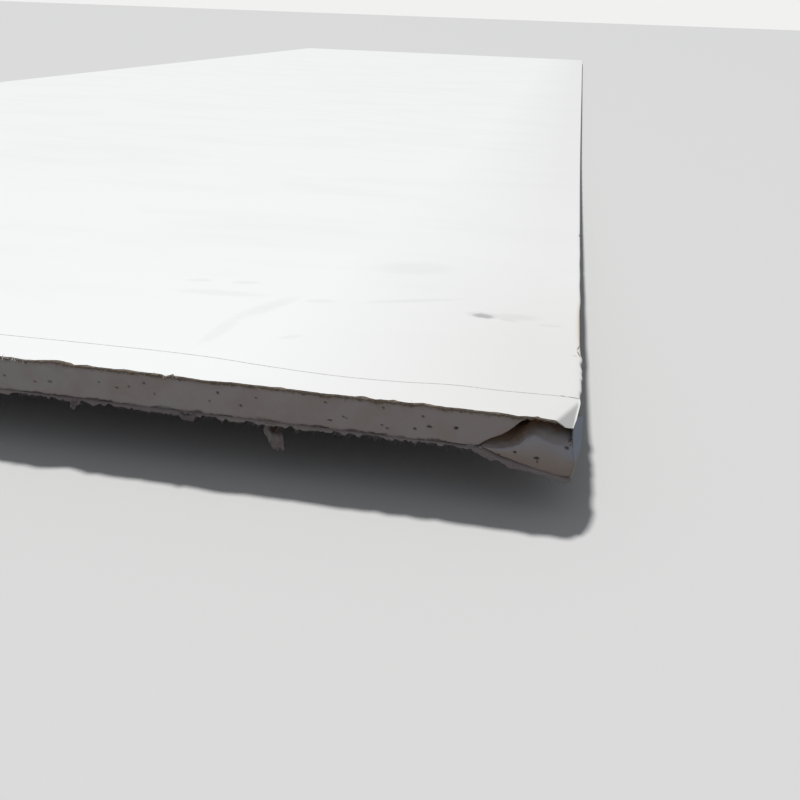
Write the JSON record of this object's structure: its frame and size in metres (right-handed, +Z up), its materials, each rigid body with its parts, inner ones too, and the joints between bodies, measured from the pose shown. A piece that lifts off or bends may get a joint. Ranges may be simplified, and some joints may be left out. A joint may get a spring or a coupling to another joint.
{
  "type": "drywall sheet",
  "caption": "Full sheet of white paper-faced gypsum wallboard lying face up, its near end cut rough and one corner snapped and hanging in its paper.",
  "frame": {"origin": "middle of the sheet, on the floor that it lies on, under its flat back", "axes": "+X across the sheet, towards the long edge whose corner is snapped; +Y along the sheet, away from the cut and damaged end; +Z up, out of the white face"},
  "size_m": [1.2199, 3.6595, 0.0414],
  "materials": {
    "gypsum": "matt, chalky, with small dark pits",
    "face_paper": "matt white paper",
    "back_paper": "matt grey-brown paper, torn at the cut end"
  },
  "bodies": {
    "root": {"gypsum_core": "gypsum", "broken_corner": "gypsum", "face_paper": "face_paper", "back_paper": "back_paper"}
  },
  "joints": []
}
